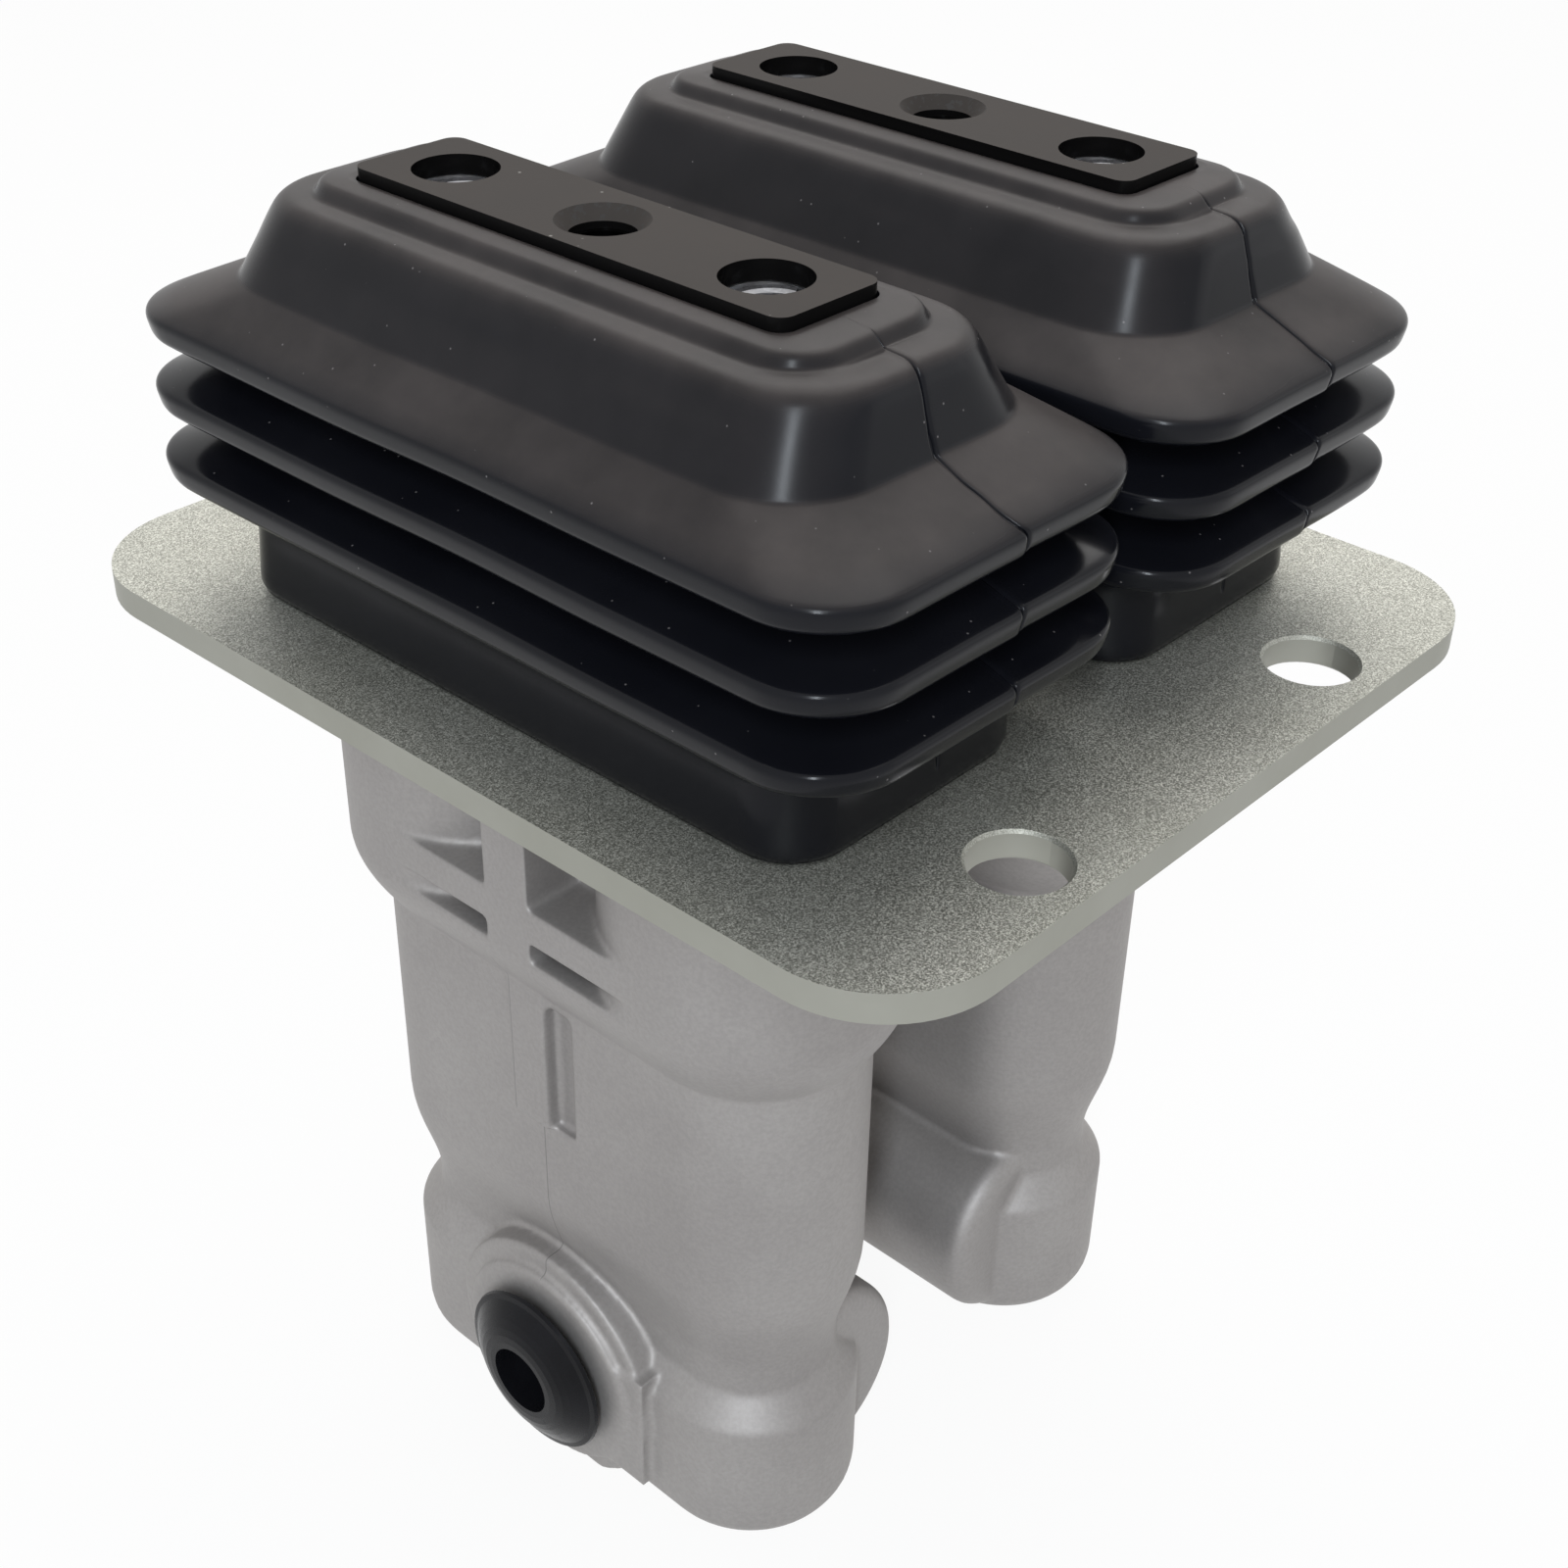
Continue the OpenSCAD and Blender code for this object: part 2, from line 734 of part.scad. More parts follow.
// Two open retaining rings in the pin's grooves
module pin_clips() {
    groove_mid = ear_out + clip_gap + clip_t / 2;
    color("#45474a")
        translate([0, 0, pivot_z])
            rotate([0, 90, 0])
                for (x = [-1, 1])
                    difference() {
                        ring(pin_r + 1.6, pin_r - 0.5, x * groove_mid - clip_t / 2, x * groove_mid + clip_t / 2);
                        translate([0, -1.5, x * groove_mid - clip_t])
                            cube([2 * pin_r, 3, 2 * clip_t]);
                    }
}

// Side view of the rocker: web, hub and two arms
module rocker_side() {
    arm_half = adjuster_r + 4;
    arm_low = tip_z + nut_t + 2.5;
    translate([0, pivot_z])
        circle(hub_r);
    polygon([[-rocker_half_l, block_low_z], [-bore_offset - arm_half, arm_low + 3],
        [-bore_offset - arm_half + 3, arm_low], [-bore_offset + arm_half, arm_low], [-hub_r + 1, pivot_z + 2],
        [hub_r - 1, pivot_z + 2], [bore_offset - arm_half, arm_low], [bore_offset + arm_half - 3, arm_low],
        [bore_offset + arm_half, arm_low + 3], [rocker_half_l, block_low_z]]);
}

// Rocker that turns on the pin and carries the two adjusting screws
module rocker() {
    color("#77797b")
        difference() {
            rotate([90, 0, 90])
                linear_extrude(rocker_w, center = true)
                    rocker_side();
            translate([0, 0, pivot_z])
                rotate([0, 90, 0])
                    cylinder(r = bush_r, h = 2 * rocker_w, center = true);
            for (end = [toe, heel])
                at_bore(end)
                    post(adjuster_r, tip_z, block_low_z + cut);
            for (y = [-1, 1])
                translate([0, y * (hub_r + 4), pivot_z + 9.5])
                    rotate([0, 90, 0])
                        cylinder(r = 3, h = 2 * rocker_w, center = true);
        }
}

// Block welded on the rocker's top, with the threads for the two pedal bolts
module pedal_block() {
    color("#77797b")
        difference() {
            union() {
                translate([0, 0, block_low_z])
                    linear_extrude(block_h - lip_h)
                        rounded_rect(block_half_w, block_half_l, 2);
                translate([0, 0, block_low_z])
                    linear_extrude(block_h)
                        rounded_rect(step_half_w, rocker_half_l, 1);
            }
            for (end = [toe, heel])
                at_bore(end)
                    post(pedal_thread_r, block_low_z - cut, block_top_z + cut);
            post(locator_r, block_top_z - locator_deep, block_top_z + cut);
        }
}

module pivot_bushes() {
    color("#a8854a")
        translate([0, 0, pivot_z])
            rotate([0, 90, 0])
                for (x = [-1, 1])
                    translate([0, 0, x * (rocker_w + 1) / 4])
                        ring(bush_r - 0.01, pin_r + run_fit, -(rocker_w - 1) / 4, (rocker_w - 1) / 4);
}

// Painted bar with two clearance holes and a countersunk hole
module pedal_bar() {
    csk_h = csk_top_r - csk_hole_r;
    color("#232325")
        difference() {
            translate([0, 0, bar_bottom_z])
                linear_extrude(bar_t)
                    rounded_rect(bar_half_w, bar_half_l, bar_corner_r);
            for (end = [toe, heel])
                at_bore(end)
                    post(bar_hole_r, bar_bottom_z - cut, bar_top_z + cut);
            post(csk_hole_r, bar_bottom_z - cut, bar_top_z + cut);
            translate([0, 0, bar_top_z - csk_h])
                cylinder(r1 = csk_hole_r, r2 = csk_top_r + 0.01, h = csk_h + 0.01);
        }
}

// Set screws in the rocker's arms, with round tips over the push rods
module adjusting_screws() {
    top_z = block_low_z - 0.6;
    tip_low = sqrt(tip_round_r * tip_round_r - adjuster_r * adjuster_r);
    color("#4a4c4f")
        for (end = [toe, heel])
            at_bore(end)
                difference() {
                    union() {
                        post(adjuster_r - 0.02, tip_z + tip_round_r - tip_low, top_z);
                        intersection() {
                            translate([0, 0, tip_z + tip_round_r])
                                sphere(tip_round_r);
                            post(adjuster_r - 0.02, tip_z - cut, tip_z + tip_round_r);
                        }
                    }
                    translate([0, 0, top_z - adjuster_r])
                        cylinder(r = adjuster_r * 0.57, h = adjuster_r + cut, $fn = 6);
                }
}

module lock_nuts() {
    low_z = tip_z + 2.3;
    color("#6a6c6f")
        for (end = [toe, heel])
            at_bore(end)
                difference() {
                    translate([0, 0, low_z])
                        cylinder(r = nut_flats / sqrt(3), h = nut_t, $fn = 6);
                    post(adjuster_r + 0.02, low_z - cut, low_z + nut_t + cut);
                }
}

// Sections of the boot, up the outside and down the inside
function fold_z(i) = fold_first_z + i * fold_pitch;
function grown(d, r, z) = [fold_half_l - d, fold_half_w - d, max(r, 2), z];
function fold_outside(i) = [
    grown(1.6, fold_corner_r - 1, fold_z(i) - 0.1),
    grown(0.2, fold_corner_r, fold_z(i) + 0.8),
    grown(0, fold_corner_r, fold_z(i) + fold_lip_h - 1.2),
    grown(1.4, fold_corner_r - 1, fold_z(i) + fold_lip_h)];
function valley_z(i) = fold_z(i) - (fold_pitch - fold_lip_h) / 2;
function fold_inside(i) = [
    grown(boot_wall + 1.6, fold_corner_r - 2, fold_z(i) + fold_lip_h - boot_wall + 0.6),
    grown(boot_wall + 1.6, fold_corner_r - 2, fold_z(i) + 1.6)];
bead_gap = 0.4;
bead_half_l = base_half_l - groove_deep + bead_gap;
bead_half_w = base_half_w - groove_deep + bead_gap;
bead_r = base_corner_r - groove_deep + bead_gap;
bead_low_z = groove_low_z + bead_gap;
bead_top_z = groove_low_z + groove_h - bead_gap;
hat_base = [48.3, 21.1, 10.5, 46.9];
hat_edge = [45.2, 17.6, 8, 54.6];
hat_top = [42.6, 14.6, 7, 57];
collar = [40.5, 12.4, 5.5, 58.6];
boot_sections = concat(
    [[foot_half_l, foot_half_w, 8, plate_top + seat_gap],
        [foot_half_l - 0.6, foot_half_w - 0.4, 8, fold_first_z - 5]],
    fold_outside(0),
    [grown(valley_deep, 6, valley_z(1))],
    fold_outside(1),
    [grown(valley_deep, 6, valley_z(2))],
    fold_outside(2),
    [hat_base, hat_edge, [hat_edge[0] - 1, hat_edge[1] - 1, 8, hat_top[3] - 0.7], hat_top,
        [collar[0], collar[1], collar[2], hat_top[3]],
        [collar[0] - 0.2, collar[1] - 0.2, collar[2], collar[3] - 0.6],
        [collar[0] - 1, collar[1] - 1, collar[2], collar[3]],
        [bar_half_l + 0.4, bar_half_w + 0.4, bar_corner_r + 0.4, collar[3]],
        [bar_half_l + 0.4, bar_half_w + 0.4, bar_corner_r + 0.4, bar_bottom_z - seat_gap],
        [rocker_half_l + 0.4, step_half_w + 0.4, 1.4, bar_bottom_z - seat_gap],
        [rocker_half_l + 0.4, step_half_w + 0.4, 1.4, step_z + seat_gap],
        [hat_top[0] - 1, hat_top[1] - 1.5, 6, step_z + seat_gap],
        [hat_base[0] - boot_wall, hat_base[1] - boot_wall, 8, hat_base[3] - 1]],
    fold_inside(2),
    [grown(valley_deep + boot_wall, 4, valley_z(2))],
    fold_inside(1),
    [grown(valley_deep + boot_wall, 4, valley_z(1))],
    fold_inside(0),
    [[foot_half_l - boot_wall, foot_half_w - boot_wall, 6, fold_first_z - 5.6],
        [foot_half_l - boot_wall, foot_half_w - boot_wall, 6, bead_top_z],
        [bead_half_l, bead_half_w, bead_r, bead_top_z],
        [bead_half_l, bead_half_w, bead_r, bead_low_z],
        [base_half_l + bead_gap, base_half_w + bead_gap, base_corner_r + bead_gap, bead_low_z],
        [base_half_l + bead_gap, base_half_w + bead_gap, base_corner_r + bead_gap, plate_top + seat_gap]]);

module boot() {
    color("#26262a")
        skin(boot_sections);
}

mounting_plate();
half(left) valve_body();  // left_valve_body
half(right) valve_body();  // right_valve_body
half(left) port_cap();  // left_port_cap
half(right) port_cap();  // right_port_cap
half(left) pedal_bracket();  // left_pedal_bracket
half(right) pedal_bracket();  // right_pedal_bracket
half(left) bracket_screws();  // left_bracket_screws
half(right) bracket_screws();  // right_bracket_screws
half(left) boot();  // left_boot
half(right) boot();  // right_boot
half(left) pivot_pin();  // left_pivot_pin
half(right) pivot_pin();  // right_pivot_pin
half(left) pin_clips();  // left_pin_clips
half(right) pin_clips();  // right_pin_clips
half(left) rocker();  // left_rocker
half(right) rocker();  // right_rocker
half(left) pedal_block();  // left_pedal_block
half(right) pedal_block();  // right_pedal_block
half(left) pivot_bushes();  // left_pivot_bushes
half(right) pivot_bushes();  // right_pivot_bushes
half(left) pedal_bar();  // left_pedal_bar
half(right) pedal_bar();  // right_pedal_bar
half(left) adjusting_screws();  // left_adjusting_screws
half(right) adjusting_screws();  // right_adjusting_screws
half(left) lock_nuts();  // left_lock_nuts
half(right) lock_nuts();  // right_lock_nuts
half(left) both_bores() rod_guide();  // left_rod_guides
half(right) both_bores() rod_guide();  // right_rod_guides
half(left) both_bores() guide_o_ring();  // left_guide_o_rings
half(right) both_bores() guide_o_ring();  // right_guide_o_rings
half(left) both_bores() rod_wiper();  // left_rod_wipers
half(right) both_bores() rod_wiper();  // right_rod_wipers
half(left) at_bore(toe) push_rod();  // left_toe_push_rod
half(left) at_bore(heel) push_rod();  // left_heel_push_rod
half(right) at_bore(toe) push_rod();  // right_toe_push_rod
half(right) at_bore(heel) push_rod();  // right_heel_push_rod
half(left) at_bore(toe) damping_piston();  // left_toe_piston
half(left) at_bore(heel) damping_piston();  // left_heel_piston
half(right) at_bore(toe) damping_piston();  // right_toe_piston
half(right) at_bore(heel) damping_piston();  // right_heel_piston
half(left) at_bore(toe) return_spring();  // left_toe_return_spring
half(left) at_bore(heel) return_spring();  // left_heel_return_spring
half(right) at_bore(toe) return_spring();  // right_toe_return_spring
half(right) at_bore(heel) return_spring();  // right_heel_return_spring
half(left) at_bore(toe) control_spring();  // left_toe_control_spring
half(left) at_bore(heel) control_spring();  // left_heel_control_spring
half(right) at_bore(toe) control_spring();  // right_toe_control_spring
half(right) at_bore(heel) control_spring();  // right_heel_control_spring
half(left) at_bore(toe) spring_seat();  // left_toe_spring_seat
half(left) at_bore(heel) spring_seat();  // left_heel_spring_seat
half(right) at_bore(toe) spring_seat();  // right_toe_spring_seat
half(right) at_bore(heel) spring_seat();  // right_heel_spring_seat
half(left) at_bore(toe) spool();  // left_toe_spool
half(left) at_bore(heel) spool();  // left_heel_spool
half(right) at_bore(toe) spool();  // right_toe_spool
half(right) at_bore(heel) spool();  // right_heel_spool
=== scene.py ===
"""Twin foot pedal valve: looks, soft parts, light and camera, in the CAD frame (metres)."""
import json
from math import cos, dist, pi, radians, sin

import bpy
from mathutils import Matrix, Vector, noise


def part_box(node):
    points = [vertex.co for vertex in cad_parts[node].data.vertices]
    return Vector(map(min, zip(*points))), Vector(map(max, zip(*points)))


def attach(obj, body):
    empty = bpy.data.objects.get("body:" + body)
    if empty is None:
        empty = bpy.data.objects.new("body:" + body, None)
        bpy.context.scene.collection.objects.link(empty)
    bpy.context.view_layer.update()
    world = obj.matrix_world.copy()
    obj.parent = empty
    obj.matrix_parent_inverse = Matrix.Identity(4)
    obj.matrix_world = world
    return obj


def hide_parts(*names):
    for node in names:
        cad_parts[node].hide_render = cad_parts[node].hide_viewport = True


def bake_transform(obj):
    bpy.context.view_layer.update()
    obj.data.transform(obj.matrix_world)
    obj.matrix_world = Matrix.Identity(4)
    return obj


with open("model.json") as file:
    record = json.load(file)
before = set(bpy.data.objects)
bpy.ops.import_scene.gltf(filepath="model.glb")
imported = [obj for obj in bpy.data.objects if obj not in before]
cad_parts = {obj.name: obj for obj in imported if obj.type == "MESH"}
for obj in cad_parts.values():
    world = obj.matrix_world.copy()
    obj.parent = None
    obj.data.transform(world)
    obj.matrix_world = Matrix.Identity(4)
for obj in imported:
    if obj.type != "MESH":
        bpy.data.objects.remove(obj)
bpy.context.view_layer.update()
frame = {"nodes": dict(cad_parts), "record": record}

MM = 0.001
SIDES = {"left": -1, "right": 1}

# Places of the CAD frame, in millimetres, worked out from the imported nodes
BAR_LOW, BAR_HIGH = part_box("right_pedal_bar")
FLOOR_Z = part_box("right_valve_body")[0][2]
PEDAL_X = (BAR_LOW[0] + BAR_HIGH[0]) / 2 / MM
PLATE_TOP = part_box("mounting_plate")[1][2] / MM
BAR_BOTTOM = BAR_LOW[2] / MM
BAR_HALF_W = (BAR_HIGH[0] - BAR_LOW[0]) / 2 / MM
BAR_HALF_L = (BAR_HIGH[1] - BAR_LOW[1]) / 2 / MM
HOLE_Y = 25.0

# Rubber boot, in millimetres: half length, half width and corner radius of its forms
FOLD = (60.0, 28.0, 11.3)
FOLD_Z = (20.2, 29.7, 39.2)
FOLD_LIP = 3.4
VALLEY_DEEP = 9.0
FOOT = (49.8, 21.4, 8.0)
HAT_BASE = (48.8, 21.4, 11.3, 47.35)
HAT_EDGE = (45.9, 16.0, 10.5, 56.8)
HAT_TOP = (41.3, 12.7, 7.5, 57.1)
COLLAR = (40.0, 11.3, 5.4, 58.7)
COLLAR_TOP = 59.2
BOOT_WALL = 2.2
FOOT_INSIDE = (47.0, 18.5, 6.4)
BAR_OPENING = (33.0, 7.25, 1.4)
BAR_SEAT_DEPTH = 3.3
UNEVEN = 0.35
# Heights in mm over which the boot's brown film fades in; the film is partly dust and partly painted top light
DUST_AND_TOP_LIGHT_FROM = (41.0, 44.0)

# Parting crack of the boot's mould, at its heel end: height and how far it lies from the middle
CRACK = {"left": ((15, 3.0), (30, 3.0), (41, 2.7), (43, 1.2), (47, 0.4), (50, 0.1), (60, 0.2)),
         "right": ((15, 1.2), (30, 0.7), (41, 1.5), (43, 1.2), (47, 0.5), (50, 0.2), (60, 0.0))}
CRACK_SINK = 0.9
CRACK_STEP = 0.25
CRACK_REACH = 9

# M10 thread turns under the bar's end holes: radius and height along one pitch
THREAD_PITCH = 1.5
THREAD_TURNS = 8
THREAD_PROFILE = ((4.99, 0.0), (4.72, -0.28), (4.3, -0.66), (4.3, -0.80), (4.99, -1.42))
# Profile faces that take the bright steel; the others take a dark material as painted shade in the roots
BRIGHT_FLANKS = (1, 2)

# Springs: wire radius, turns, and how far the foot follows the rod
SPRINGS = {"return": (1.1, 6, 0.0), "control": (0.8, 5, 0.29)}
CLOSED_TURNS = 0.9

# Parting lines of the castings, painted as thin dark lines that stand for the shade of their small ridges and
# steps: Y, lowest and highest point, and colour
SEAMS = ((0.4, -93, -64, (0.16, 0.15, 0.15)), (5.2, -64, -36, (0.20, 0.19, 0.19)))

# Modifiers on the CAD nodes, in millimetres
CAST_VOXEL = 0.5
CAST_ROUNDS = 2
EDGE_ANGLE = 35
PLATE_EDGE = (0.35, 2)
PIECE_EDGES = {"pedal_bar": (0.45, 3), "port_cap": (0.22, 2), "rocker": (0.3, 2), "pedal_block": (0.3, 2)}

# Studio, in metres and watts: name, place, size, power and colour of each lamp
LIGHTS = (("top", (0.42, 0.34, 0.92), (1.0, 1.0), 8.0, (1.0, 0.98, 0.96)),
          ("strip", (-0.78, -0.56, 0.62), (0.085, 0.78), 8.5, (0.86, 0.93, 1.0)),
          ("side", (0.75, -0.75, 0.35), (0.5, 0.6), 0.3, (1.0, 1.0, 1.0)))
FLOOR_HALF = 12.0
FLOOR_TONE = 0.8
FLOOR_WHITE = 0.93
WORLD_LIGHT = 0.34

# Camera fitted to the photograph: lens, place and turn
LENS = 51.187
CAMERA_AZIMUTH = -48.319
CAMERA_ELEVATION = 33.459
CAMERA_ROLL = 1.202
CAMERA_DISTANCE = 305.492
CAMERA_TARGET = (-6.843, -8.098, -22.658)


def node_tree(name):
    """A new material and its node tree, with the principled shader's node."""
    mat = bpy.data.materials.new(name)
    mat.use_nodes = True
    tree = mat.node_tree
    return mat, tree, tree.nodes["Principled BSDF"]


def add(tree, kind, **inputs):
    """A node of that kind with its input sockets set by name."""
    item = tree.nodes.new(kind)
    for key, value in inputs.items():
        item.inputs[key.replace("_", " ")].default_value = value
    return item


def place_noise(tree, scale, detail=4.0, roughness=0.6, squeeze=(1, 1, 1)):
    """Noise over the object's own coordinates; scale is in waves per metre."""
    place = tree.nodes.new("ShaderNodeTexCoord")
    mapping = tree.nodes.new("ShaderNodeMapping")
    mapping.inputs["Scale"].default_value = squeeze
    tree.links.new(place.outputs["Object"], mapping.inputs["Vector"])
    item = add(tree, "ShaderNodeTexNoise", Scale=scale, Detail=detail, Roughness=roughness)
    tree.links.new(mapping.outputs["Vector"], item.inputs["Vector"])
    return item.outputs["Fac"]


def ramp(tree, source, stops):
    """Colour ramp over a value; stops are (place, colour)."""
    item = tree.nodes.new("ShaderNodeValToRGB")
    while len(item.color_ramp.elements) < len(stops):
        item.color_ramp.elements.new(0.5)
    for element, (at, colour) in zip(item.color_ramp.elements, stops):
        element.position = at
        element.color = (*colour, 1)
    tree.links.new(source, item.inputs["Fac"])
    return item.outputs["Color"]


def span(tree, source, low, high, start=0.3, end=0.7):
    """A value mapped from start..end to low..high."""
    item = tree.nodes.new("ShaderNodeMapRange")
    item.inputs["From Min"].default_value = start
    item.inputs["From Max"].default_value = end
    item.inputs["To Min"].default_value = low
    item.inputs["To Max"].default_value = high
    tree.links.new(source, item.inputs["Value"])
    return item.outputs["Result"]


def mix(tree, factor, first, second, blend="MIX"):
    """Colour mix; each of first and second is a socket or a colour."""
    item = tree.nodes.new("ShaderNodeMix")
    item.data_type = "RGBA"
    item.blend_type = blend
    if isinstance(factor, float):
        item.inputs[0].default_value = factor
    else:
        tree.links.new(factor, item.inputs[0])
    for socket, value in ((item.inputs[6], first), (item.inputs[7], second)):
        if isinstance(value, tuple):
            socket.default_value = (*value, 1)
        else:
            tree.links.new(value, socket)
    return item.outputs[2]


def bump(tree, shader, layers):
    """Bump from (height socket, strength, distance in mm) layers."""
    last = None
    for height, strength, distance in layers:
        item = add(tree, "ShaderNodeBump", Strength=strength, Distance=distance * MM)
        tree.links.new(height, item.inputs["Height"])
        if last:
            tree.links.new(last.outputs["Normal"], item.inputs["Normal"])
        last = item
    tree.links.new(last.outputs["Normal"], shader.inputs["Normal"])


def specks(tree, scale, size, share):
    """1 in small round specks of dust, 0 elsewhere."""
    place = tree.nodes.new("ShaderNodeTexCoord")
    cells = add(tree, "ShaderNodeTexVoronoi", Scale=scale)
    tree.links.new(place.outputs["Object"], cells.inputs["Vector"])
    near = span(tree, cells.outputs["Distance"], 1.0, 0.0, size * 0.5, size)
    parts = tree.nodes.new("ShaderNodeSeparateColor")
    tree.links.new(cells.outputs["Color"], parts.inputs["Color"])
    chosen = span(tree, parts.outputs["Red"], 0.0, 1.0, 1 - share, 1 - share + 0.01)
    return times(tree, near, chosen)


def times(tree, first, second):
    """The product of two values."""
    both = tree.nodes.new("ShaderNodeMath")
    both.operation = "MULTIPLY"
    tree.links.new(first, both.inputs[0])
    tree.links.new(second, both.inputs[1])
    return both.outputs["Value"]


def object_place(tree, axis):
    """The object's own coordinate along X, Y or Z."""
    place = tree.nodes.new("ShaderNodeTexCoord")
    parts = tree.nodes.new("ShaderNodeSeparateXYZ")
    tree.links.new(place.outputs["Object"], parts.inputs["Vector"])
    return parts.outputs[axis]


def above(tree, low, high):
    """0 below one height and 1 above the other, both in millimetres."""
    return span(tree, object_place(tree, "Z"), 0.0, 1.0, low * MM, high * MM)


def seam_line(tree, y, low, high, half=0.11):
    """1 on a thin upright line at that Y between two heights, in millimetres."""
    near = span(tree, object_place(tree, "Y"), 0.0, 1.0, (y - half) * MM, (y - 0.3 * half) * MM)
    past = span(tree, object_place(tree, "Y"), 1.0, 0.0, (y + 0.3 * half) * MM, (y + half) * MM)
    tall = times(tree, above(tree, low - 0.5, low + 0.5), span(tree, object_place(tree, "Z"), 1.0, 0.0,
                                                               (high - 0.5) * MM, (high + 0.5) * MM))
    return times(tree, times(tree, near, past), tall)


def facing_up(tree, low, high):
    """0 on steep faces and 1 on faces that look up."""
    place = tree.nodes.new("ShaderNodeTexCoord")
    parts = tree.nodes.new("ShaderNodeSeparateXYZ")
    tree.links.new(place.outputs["Normal"], parts.inputs["Vector"])
    return span(tree, parts.outputs["Z"], 0.0, 1.0, low, high)


def rubber_material():
    """Satin black rubber with a lighter brown film on what looks up, partly dust and partly painted top light, and
    small dust specks.
    """
    mat, tree, shader = node_tree("boot rubber")
    broad = place_noise(tree, 35, 3)
    fine = place_noise(tree, 900, 5)
    clean = ramp(tree, broad, [(0.3, (0.0050, 0.0053, 0.0075)), (0.7, (0.0080, 0.0083, 0.0110))])
    # Painted top light, partly dust: a lighter, warmer brown film on faces that look up, above the lower folds
    dust_and_top_light = ramp(tree, place_noise(tree, 70, 6), [(0.25, (0.023, 0.020, 0.0195)), (0.75, (0.058, 0.050, 0.048))])
    dust_and_top_light_mask = times(tree, facing_up(tree, 0.40, 0.92), above(tree, *DUST_AND_TOP_LIGHT_FROM))
    base = mix(tree, dust_and_top_light_mask, clean, dust_and_top_light)
    dust = specks(tree, 620, 0.10, 0.22)
    tree.links.new(mix(tree, dust, base, (0.15, 0.14, 0.14)), shader.inputs["Base Color"])
    rough = mix(tree, dust_and_top_light_mask, span(tree, broad, 0.15, 0.21), span(tree, broad, 0.36, 0.46))
    tree.links.new(rough, shader.inputs["Roughness"])
    shader.inputs["Specular IOR Level"].default_value = 0.15
    bump(tree, shader, [(fine, 0.10, 0.04), (place_noise(tree, 60, 2), 0.25, 0.25)])
    return mat


def paint_material():
    """Black paint, lighter and dull on the flat top from dust and painted top light, glossy on steep faces, with
    light chips along edges that are partly wear and partly a painted rim highlight.
    """
    mat, tree, shader = node_tree("bar paint")
    broad = place_noise(tree, 60, 4)
    fine = place_noise(tree, 1400, 3)
    # The flat top is lighter than the black steep faces, partly by dust and partly by painted top light
    dust_and_top_light = ramp(tree, broad, [(0.3, (0.048, 0.0425, 0.039)), (0.7, (0.062, 0.055, 0.0505))])
    flat = facing_up(tree, 0.35, 0.75)
    base = mix(tree, flat, (0.0050, 0.0047, 0.0047), dust_and_top_light)
    edge = times(tree, facing_up(tree, 0.15, 0.45), facing_up(tree, 0.97, 0.80))
    # Lighter chips on the edge band: partly wear and partly a painted rim highlight
    wear_and_rim_highlight = times(tree, edge, span(tree, place_noise(tree, 1300, 3), 0.0, 1.0, 0.56, 0.62))
    chips_and_rim_highlight = mix(tree, wear_and_rim_highlight, base, (0.055, 0.052, 0.050))
    dust = specks(tree, 500, 0.12, 0.08)
    tree.links.new(mix(tree, dust, chips_and_rim_highlight, (0.3, 0.29, 0.27)), shader.inputs["Base Color"])
    tree.links.new(mix(tree, flat, span(tree, broad, 0.14, 0.22), span(tree, broad, 0.50, 0.60)),
                   shader.inputs["Roughness"])
    shader.inputs["Specular IOR Level"].default_value = 0.04
    bump(tree, shader, [(fine, 0.18, 0.04)])
    return mat


def zinc_material():
    """Zinc plating with a sparkling grain on its flat faces."""
    mat, tree, shader = node_tree("zinc plated steel")
    sparkle = place_noise(tree, 4600, 2, 0.75)
    grain = mix(tree, facing_up(tree, 0.5, 0.9), (0.47, 0.47, 0.47), sparkle)
    cloud = place_noise(tree, 45, 4)
    tone = ramp(tree, grain, [(0.36, (0.20, 0.20, 0.175)), (0.52, (0.42, 0.42, 0.375)), (0.66, (0.74, 0.74, 0.68))])
    patchy = ramp(tree, cloud, [(0.3, (0.88, 0.88, 0.86)), (0.7, (1.0, 1.0, 1.0))])
    tree.links.new(mix(tree, 1.0, tone, patchy, "MULTIPLY"), shader.inputs["Base Color"])
    shader.inputs["Metallic"].default_value = 0.7
    tree.links.new(span(tree, grain, 0.45, 0.58), shader.inputs["Roughness"])
    bump(tree, shader, [(grain, 0.8, 0.08), (place_noise(tree, 700, 3), 0.12, 0.05)])
    return mat


def casting_material():
    """Cast aluminium with a fine grain, and the mould's parting lines painted as thin dark lines of shade."""
    mat, tree, shader = node_tree("cast aluminium")
    broad = place_noise(tree, 28, 4)
    grain = place_noise(tree, 1500, 3)
    tone = ramp(tree, broad, [(0.3, (0.305, 0.288, 0.280)), (0.7, (0.375, 0.357, 0.345))])
    flecks = ramp(tree, grain, [(0.35, (0.9, 0.9, 0.9)), (0.65, (1.0, 1.0, 1.0))])
    base = mix(tree, 1.0, tone, flecks, "MULTIPLY")
    # Painted shade: a thin dark line along each parting line, in place of its small ridge or step
    for y, low, high, colour in SEAMS:
        base = mix(tree, seam_line(tree, y, low, high), base, colour)
    tree.links.new(base, shader.inputs["Base Color"])
    shader.inputs["Metallic"].default_value = 0.55
    tree.links.new(span(tree, broad, 0.50, 0.62), shader.inputs["Roughness"])
    bump(tree, shader, [(grain, 0.16, 0.05), (place_noise(tree, 120, 3), 0.20, 0.18)])
    return mat


